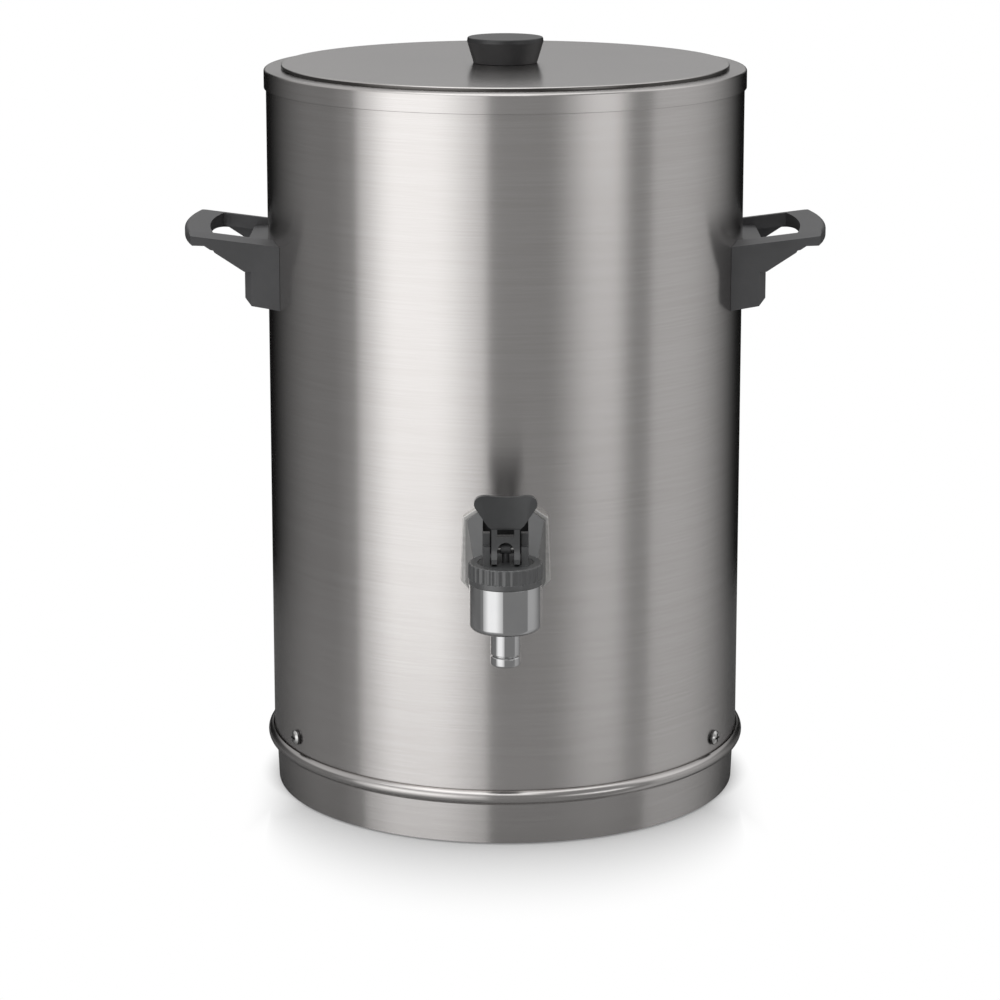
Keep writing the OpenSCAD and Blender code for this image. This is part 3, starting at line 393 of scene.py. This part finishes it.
around = (0.012, 0.012, 1.0)
across = (0.012, 1.0, 1.0)
screwColour = (0.60, 0.595, 0.585)
materials = {
    "steel": brushedSteel("brushedSteelRound", around),
    "inner_steel": plainMetal("innerSteel", (0.62, 0.62, 0.61), 0.32, 500, around),
    "plain_steel": plainMetal("zincPlate", (0.52, 0.52, 0.53), 0.42),
    "fastener_steel": plainMetal("screwSteel", screwColour, 0.26),
    "knob_plastic": plastic("knobPlastic", (0.021, 0.021, 0.022), 0.34),
    "handle_plastic": plastic("handlePlastic", (0.058, 0.058, 0.060), 0.46),
    "tap_plastic": plastic("tapPlastic", (0.052, 0.053, 0.054), 0.36),
    "chrome": chromePlate("chromePlate", chromeLook),
    "rubber": softMaterial("blackRubber", (0.03, 0.03, 0.03), 0.7, 400, 0.2),
    "silicone": softMaterial("silicone", (0.70, 0.69, 0.65), 0.5, 300, 0.1),
    "spring_steel": plainMetal("springSteel", (0.56, 0.56, 0.55), 0.3),
    "brass": plainMetal("turnedBrass", (0.72, 0.56, 0.26), 0.3),
    "insulation": softMaterial("mineralFelt", (0.74, 0.66, 0.44), 0.95, 250, 0.8),
    "aluminium": plainMetal("millAluminium", (0.70, 0.71, 0.72), 0.4, 200, across),
    "element_sheath": plainMetal("annealedSheath", (0.26, 0.24, 0.23), 0.5, 150),
    "switch_plastic": plastic("switchPlastic", (0.03, 0.03, 0.03), 0.45),
    "block_plastic": plastic("blockPlastic", (0.74, 0.72, 0.64), 0.4),
    "wire_insulation": softMaterial("leadInsulation", (0.36, 0.05, 0.035), 0.5, 600, 0.1),
    "gland_plastic": plastic("glandPlastic", (0.03, 0.03, 0.032), 0.42),
}

# the lid's edge lies in its own shadow, which is painted in as a dark tone: two heights in metres and a
# tone
lidSteelLook = dict(steelLook, rough=0.21, fineBump=0.12, streaks=1200,
                    seam=(0.4626, 0.4632, (0.11, 0.105, 0.10)))
baseSteelLook = dict(steelLook, colour=(0.53, 0.513, 0.503), dark=(0.49, 0.472, 0.461), rough=0.19,
                     anisotropy=0.7)
lidSteel = brushedSteel("brushedSteelLid", across, lidSteelLook, False)
baseSteel = brushedSteel("brushedSteelBase", around, baseSteelLook)
# the base screws carry painted shade in their slots and under their heads
baseScrewSteel = plainMetal("baseScrewSteel", screwColour, 0.22,
                            recessShade=(0.1517, 0.1519, (0.10, 0.10, 0.10)))
plateSteel = plainMetal("plateSteel", (0.74, 0.73, 0.71), 0.42, 400)
ringPlastic = plastic("ringNutPlastic", (0.066, 0.067, 0.068), 0.30, bumpAmount=0.06, specular=0.85)
# the neck cover's slot carries painted shade
coverPlastic = plastic("neckCoverPlastic", (0.082, 0.083, 0.084), 0.35, bumpAmount=0.08, specular=0.6,
                       slot=(0.0136, 0.1905, (0.006, 0.006, 0.006)))
print("materials made:", len(bpy.data.materials))


def dress(piece, body, slot, replaced=(), material=None):
    piece.data.materials.clear()
    piece.data.materials.append(material or materials[slot])
    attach(piece, body)
    if replaced:
        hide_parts(*replaced)
    return piece


# every CAD node takes the finish of its slot; what is modelled anew below hides its node
for row in frame["record"]["subparts"]:
    mesh = frame["nodes"][row["node"]].data
    mesh.materials.clear()
    mesh.materials.append(materials[row["material_slot"]])


# fitted to the outline in the photo: the lens in millimetres, the pitch in degrees
cameraLook = {"distance": 2058, "height": 682, "side": -3.3, "pitch": 11.93, "lens": 118.24, "sensor": 36,
              "shiftY": -0.1}


def makeCamera(look):
    data = bpy.data.cameras.new("camera")
    data.lens, data.sensor_width, data.shift_y = look["lens"], look["sensor"], look["shiftY"]
    data.clip_start, data.clip_end = 0.05, 50
    camera = bpy.data.objects.new("camera", data)
    bpy.context.scene.collection.objects.link(camera)
    camera.location = (look["side"] * mm, -look["distance"] * mm, look["height"] * mm)
    camera.rotation_euler = (math.radians(90 - look["pitch"]), 0, 0)
    bpy.context.scene.camera = camera


makeCamera(cameraLook)
bpy.context.scene.view_settings.view_transform = "Standard"
print("camera placed")


jacketLook = {"r": 150, "sheet": 0.8, "low": 28.5, "top": 459.9}


def makeJacket(look):
    r, inner, low, top = look["r"], look["r"] - look["sheet"], look["low"], look["top"]
    piece = turned("jacketShell", [(inner, low), (r, low), (r, top), (inner, top)])
    smooth(piece)
    dress(piece, "urn", "steel", ["jacket"])


vesselLook = {"floor": 130, "outer": 136, "mouth": 135, "sheet": 1, "corner": 8, "rim": 461,
              "bandIn": 150.3, "bandOut": 151.3, "bandLow": 449, "bandLowEdge": 0.3, "edge": 1.6,
              "lip": 1.6}


def makeVessel(look):
    floor, sheet, corner = look["floor"], look["sheet"], look["corner"]
    rim, low = look["rim"], look["bandLow"]
    piece = turned("vesselShell", [
        (0, floor), (look["outer"], floor, corner), (look["outer"], rim - sheet),
        (look["bandIn"], rim - sheet), (look["bandIn"], low), (look["bandOut"], low, look["bandLowEdge"]),
        (look["bandOut"], rim, look["edge"]), (look["mouth"], rim, look["lip"]),
        (look["mouth"], floor + sheet, corner - sheet), (0, floor + sheet)],
        closed=False, rounds=6)
    smooth(piece)
    dress(piece, "urn", "steel", ["vessel"])


lidLook = {"r": 140.4, "sheet": 0.9, "low": 461.1, "top": 463.5, "lowEdge": 0.2, "topEdge": 0.85}


def makeLid(look):
    r, top, low, sheet = look["r"], look["top"], look["low"], look["sheet"]
    piece = turned("lidPanel", [(0, top - sheet), (r - sheet, top - sheet), (r - sheet, low),
                                (r, low, look["lowEdge"]), (r, top, look["topEdge"]), (0, top)],
                   closed=False)
    smooth(piece)
    dress(piece, "lid", "steel", ["lid_panel"], lidSteel)


knobLook = {"foot": 20, "head": 24, "low": 463.6, "top": 479.6, "footEdge": 0.5, "brim": 2.6,
            "brimEdge": 0.6, "inset": 0.4, "topEdge": 0.9}


def makeKnob(look):
    low, top, head = look["low"], look["top"], look["head"]
    piece = turned("lidKnob", [(0, low), (look["foot"], low, look["footEdge"]),
                               (head, top - look["brim"], look["brimEdge"]),
                               (head - look["inset"], top, look["topEdge"]), (0, top)],
                   steps=96, closed=False, rounds=5)
    smooth(piece)
    dress(piece, "lid", "knob_plastic", ["lid_knob"])


baseLook = {"foot": 147.5, "skirt": 148.5, "low": 1, "beadR": 149.6, "beadZ": 31.6, "bead": 4.4,
            "sheet": 1.0, "beadEnd": 72, "beadSteps": 14, "edge": 0.3, "foldDown": 1.2,
            "foldDownIn": 0.8, "foldEdge": 0.6}


def makeBase(look):
    bead, r, sheet = (look["beadR"], look["beadZ"]), look["bead"], look["sheet"]
    under = look["beadZ"] - r
    outline = [(look["foot"], look["low"], look["edge"]),
               (look["skirt"], under - look["foldDown"], look["foldEdge"])]
    outline += arc(bead, r, -90, look["beadEnd"], look["beadSteps"])
    outline += arc(bead, r - sheet, look["beadEnd"], -90, look["beadSteps"])
    outline += [(look["skirt"] - sheet, under - look["foldDownIn"]),
                (look["foot"] - sheet, look["low"], look["edge"])]
    piece = turned("baseRing", outline)
    smooth(piece)
    dress(piece, "urn", "steel", ["base_ring"], baseSteel)


screwLook = {"head": 4.75, "height": 3.1, "headEdge": 0.3, "rim": 0.55, "rimEdge": 1.0, "crown": 0.62,
             "crownEdge": 2.0, "shank": 2.5, "length": 13, "tipEdge": 0.5, "slot": 1.35, "slotLength": 5.8,
             "depth": 1.5, "edge": 0.12, "seat": 150.1, "z": 45, "angles": (-61, 61, 180)}


def makeBaseScrews(look):
    r, shank, length, height = look["head"], look["shank"], look["length"], look["height"]
    head = turned("baseScrew", [(0, -length), (shank, -length, look["tipEdge"]), (shank, 0),
                                (r, 0, look["headEdge"]), (r, height * look["rim"], look["rimEdge"]),
                                (r * look["crown"], height, look["crownEdge"]), (0, height)],
                  steps=48, closed=False)
    for turn in (0, 90):
        pickNothing()
        bpy.ops.mesh.primitive_cube_add(
            size=1, location=(0, 0, height * mm), rotation=(0, 0, math.radians(turn)),
            scale=(look["slotLength"] * mm, look["slot"] * mm, 2 * look["depth"] * mm))
        cut(head, named("slotTool"))
    softEdges(head, look["edge"], 2, 40)
    smooth(head)
    lay(head, (90, 0, 0), (0, -look["seat"], look["z"]))
    for piece in copies(head, look["angles"]):
        dress(piece, "urn", "fastener_steel", ["base_screws"], baseScrewSteel)


makeJacket(jacketLook)
makeVessel(vesselLook)
makeLid(lidLook)
makeKnob(knobLook)
makeBase(baseLook)
makeBaseScrews(screwLook)
print("walls, lid and base made")


handleLook = {"edge": 0.7, "segments": 3}


def makeHandles(look):
    for side in ("left", "right"):
        piece = refined(f"handle_{side}", f"{side}Handle", look["edge"], look["segments"])
        dress(piece, "urn", "handle_plastic", [f"handle_{side}"])


makeHandles(handleLook)
print("handles made")


tapLook = {"r": 21.5, "low": 151, "top": 179, "edge": 3.5, "topEdge": 0.3, "neck": 19.7, "neckTop": 188,
           "shankIn": 6, "shankOut": 9.5, "shankLength": 66, "shankEdge": 0.6, "shankY": -192,
           "shankZ": 166}


def makeTapBody(look):
    r, low, top, neck = look["r"], look["low"], look["top"], look["neck"]
    shell = turned("tapBody", [(0, low), (r, low, look["edge"]), (r, top, look["topEdge"]), (neck, top),
                               (neck, look["neckTop"]), (0, look["neckTop"])],
                   at=(0, tapY), steps=128, closed=False, rounds=8)
    inner, outer, length = look["shankIn"], look["shankOut"], look["shankLength"]
    shank = turned("shank", [(inner, 0), (outer, 0), (outer, length, look["shankEdge"]), (inner, length)],
                   steps=64)
    lay(shank, (-90, 0, 0), (0, look["shankY"], look["shankZ"]))
    piece = joined("tapBody", [shell, shank])
    smooth(piece)
    dress(piece, "urn", "chrome", ["tap_body"])


# each corner of the groove: how far out from the spout's radius, how far up from the groove, its radius
spoutLook = {"r": 9, "bore": 5.5, "low": 129, "top": 150.9, "boreEdge": 0.4, "endEdge": 1.2,
             "groove": 135.2,
             "corners": [(0, -0.6, 0.9), (-1.2, -0.2, 0.15), (-1.2, 0.3, 0.15), (0, 0.9, 0.2)]}


def makeSpout(look):
    r, bore, low, top = look["r"], look["bore"], look["low"], look["top"]
    outline = [(bore, low, look["boreEdge"]), (r, low, look["endEdge"])]
    outline += [(r + out, look["groove"] + up, edge) for out, up, edge in look["corners"]]
    outline += [(r, top), (bore, top)]
    piece = turned("tapSpout", outline, at=(0, tapY), steps=96)
    smooth(piece)
    dress(piece, "urn", "chrome", ["tap_spout"])


# each flute is eight columns of points wide, and the middle ones are drawn in by these depths
ringLook = {"r": 22, "low": 179.1, "top": 191.5, "inner": 16.2, "bore": 19.75, "lip": 190, "lowEdge": 0.4,
            "topEdge": 1.1, "innerEdge": 0.3, "plain": 182.2, "start": 0.35, "band": 1.4, "flutes": 32,
            "columns": 8, "depths": {1: 0.16, 2: 0.45, 3: 0.62, 4: 0.68}}


def makeRingNut(look):
    r, low, top, bore, plain = look["r"], look["low"], look["top"], look["bore"], look["plain"]
    columns = look["columns"]
    steps = look["flutes"] * columns
    piece = turned("tapRingNut", [
        (bore, low), (r, low, look["lowEdge"]), (r, plain), (r, plain + look["start"]),
        (r, top, look["topEdge"]), (look["inner"], top, look["innerEdge"]), (look["inner"], look["lip"]),
        (bore, look["lip"])], at=(0, tapY), steps=steps)
    startEdit(piece)
    middle = (0, tapY * mm, 0)
    for column, depth in look["depths"].items():
        def inColumn(p):
            turn = math.degrees(math.atan2(p.x, tapY - p.y)) % 360
            place = round(turn * steps / 360) % columns
            fluted = p.z > plain + look["start"] / 2 and math.hypot(p.x, p.y - tapY) > r - look["band"]
            return min(place, columns - place) == column and fluted
        pickVerts(piece, inColumn)
        shrink = 1 - depth / r
        bpy.ops.transform.resize(value=(shrink, shrink, 1), center_override=middle)
    endEdit()
    smooth(piece)
    dress(piece, "urn", "tap_plastic", ["tap_ring_nut"], ringPlastic)


plateLook = {"edge": 0.5}
coverLook = {"edge": 0.6}
capLook = {"edge": 0.35}
stemLook = {"edge": 0.25}
leverLook = {"edge": 0.45}


def makeTapPieces():
    for node, name, look, body, slot, material in (
            ("tap_wall_plate", "wallPlate", plateLook, "urn", "steel", plateSteel),
            ("tap_neck_cover", "neckCover", coverLook, "urn", "tap_plastic", coverPlastic),
            ("tap_cap", "tapCap", capLook, "urn", "tap_plastic", None),
            ("tap_stem", "tapStem", stemLook, "stem", "tap_plastic", None),
            ("tap_lever", "tapLever", leverLook, "lever", "tap_plastic", None)):
        dress(refined(node, name, look["edge"]), body, slot, [node], material)


springLook = {"edge": 0.03, "segments": 1, "travel": 3.7}


def makeSpring(look):
    # rides up with the stem, on a mesh of its own
    piece = refined("tap_spring", "tapSpring", look["edge"], look["segments"])
    dress(piece, "stem", "spring_steel", ["tap_spring"])
    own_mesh(piece)


makeTapBody(tapLook)
makeSpout(spoutLook)
makeRingNut(ringLook)
makeTapPieces()
makeSpring(springLook)
print("tap made")


# in metres; the shadow that the camera sees lies close round the base and reaches forward from it
floorLook = {"r": 0.62, "fade": (0.34, 0.6), "tone": 0.45, "seenTone": 0.60, "glow": 0.11,
             "seeThrough": 0.75, "baseR": 0.148, "ahead": (-0.04, 0.135), "side": (0.115, 0.165),
             "behind": (-0.09, 0.0), "halo": (0.140, 0.162)}
white = (1, 1, 1, 1)


def makeFloor(look):
    pickNothing()
    bpy.ops.mesh.primitive_circle_add(vertices=128, radius=look["r"], fill_type="NGON", location=(0, 0, 0))
    floor = named("floor")
    material, n = newMaterial("floorPaper")
    spot = n.spot()
    distance = n.add("VectorMath", {"operation": "LENGTH"}, {0: spot}, out="Value")
    x, y, z = n.axes(spot)
    baseEdge = n.math("SQRT", n.math("MAXIMUM", look["baseR"] ** 2 - x * x))
    clear = n.spread(0 - y - baseEdge, *look["ahead"])
    clear = n.math("MAXIMUM", clear, n.spread(n.math("ABSOLUTE", x), *look["side"]))
    clear = n.math("MAXIMUM", clear, n.spread(y, *look["behind"]))
    clear = n.math("MINIMUM", clear, n.spread(distance, *look["halo"]))
    tone, seen = look["tone"], look["seenTone"]
    paper = n.add("BsdfDiffuse", None, {"Color": (tone, tone, tone, 1)})
    seenPaper = n.add("BsdfDiffuse", None, {"Color": (seen, seen, seen, 1)})
    glow = n.add("Emission", None, {"Color": white, "Strength": look["glow"]})
    backdrop = n.add("Emission", None, {"Color": white, "Strength": 1.0})
    shadow = n.add("AddShader", None, {0: seenPaper, 1: glow})
    toCamera = n.add("MixShader", None, {0: clear, 1: shadow, 2: backdrop})
    glossy = n.add("LightPath", out="Is Glossy Ray") * look["seeThrough"]
    gone = n.math("MAXIMUM", n.spread(distance, *look["fade"]), glossy)
    toOthers = n.add("MixShader", None, {0: gone, 1: paper, 2: n.add("BsdfTransparent")})
    camera = n.add("LightPath", out="Is Camera Ray")
    surface = n.add("MixShader", None, {0: camera, 1: toOthers, 2: toCamera})
    n.add("OutputMaterial", None, {"Surface": surface})
    floor.data.materials.append(material)


# soft boxes round the object, in degrees: azimuth from the camera's side towards +X and height above the
# horizon, each with the width of its two soft edges
panels = [
    {"turn": (-75, -8.5), "turnSoft": (3, 3), "rise": (-40, 26), "riseSoft": (50, 40), "level": 0.5},
    {"turn": (-64, -20), "turnSoft": (22, 30), "rise": (-24, 26), "riseSoft": (36, 40), "level": 0.9},
    {"turn": (32, 58), "turnSoft": (26, 14), "rise": (-8, 7), "riseSoft": (8, 8), "level": 1.55},
    {"turn": (-80, 20), "turnSoft": (20, 20), "rise": (44, 70), "riseSoft": (14, 10), "level": 1.3},
    {"turn": (74, 121), "turnSoft": (4, 66), "rise": (-60, 60), "riseSoft": (20, 20), "level": 0.28},
    {"turn": (-86, 120), "turnSoft": (8, 60), "rise": (-90, 90), "riseSoft": (1, 1), "level": 0.08},
    {"turn": (165, 200), "turnSoft": (16, 2), "rise": (4, 70), "riseSoft": (6, 30), "level": 0.46,
     "bothSides": True},
    {"turn": (75, 200), "turnSoft": (40, 2), "rise": (22, 75), "riseSoft": (12, 10), "level": 0.5,
     "bothSides": True},
    {"turn": (-10, 200), "turnSoft": (2, 2), "rise": (64, 100), "riseSoft": (20, 2), "level": 1.2,
     "bothSides": True},
]
# the room: its level in front and behind, and how much dimmer it is below the horizon
roomLook = {"front": 0.25, "back": 0.005, "edge": (102, 158), "dim": (-24, -6), "dimTo": 0.8}


def makeWorld(room):
    world = bpy.data.worlds.new("studio")
    bpy.context.scene.world = world
    world.use_nodes = True
    n = Nodes(world.node_tree)
    x, y, z = n.axes(n.add("TexCoord", out="Generated"))
    turn = n.math("ARCTAN2", x, 0 - y) * math.degrees(1)
    rise = n.math("ARCSINE", z) * math.degrees(1)
    light = n.spread(n.math("ABSOLUTE", turn), *room["edge"], room["front"], room["back"])
    light = light * n.spread(rise, *room["dim"], room["dimTo"], 1)
    for panel in panels:
        window = panel["level"]
        sideways = n.math("ABSOLUTE", turn) if "bothSides" in panel else turn
        for value, key in ((sideways, "turn"), (rise, "rise")):
            (low, high), (softLow, softHigh) = panel[key], panel[key + "Soft"]
            window = n.spread(value, low - softLow / 2, low + softLow / 2) * window
            window = n.spread(value, high - softHigh / 2, high + softHigh / 2, 1, 0) * window
        light = light + window
    studioLight = n.add("Background", None, {"Color": white, "Strength": light})
    backdrop = n.add("Background", None, {"Color": white, "Strength": 1})
    camera = n.add("LightPath", out="Is Camera Ray")
    surface = n.add("MixShader", None, {0: camera, 1: studioLight, 2: backdrop})
    n.add("OutputWorld", None, {"Surface": surface})


makeFloor(floorLook)
makeWorld(roomLook)
print("floor and light made")
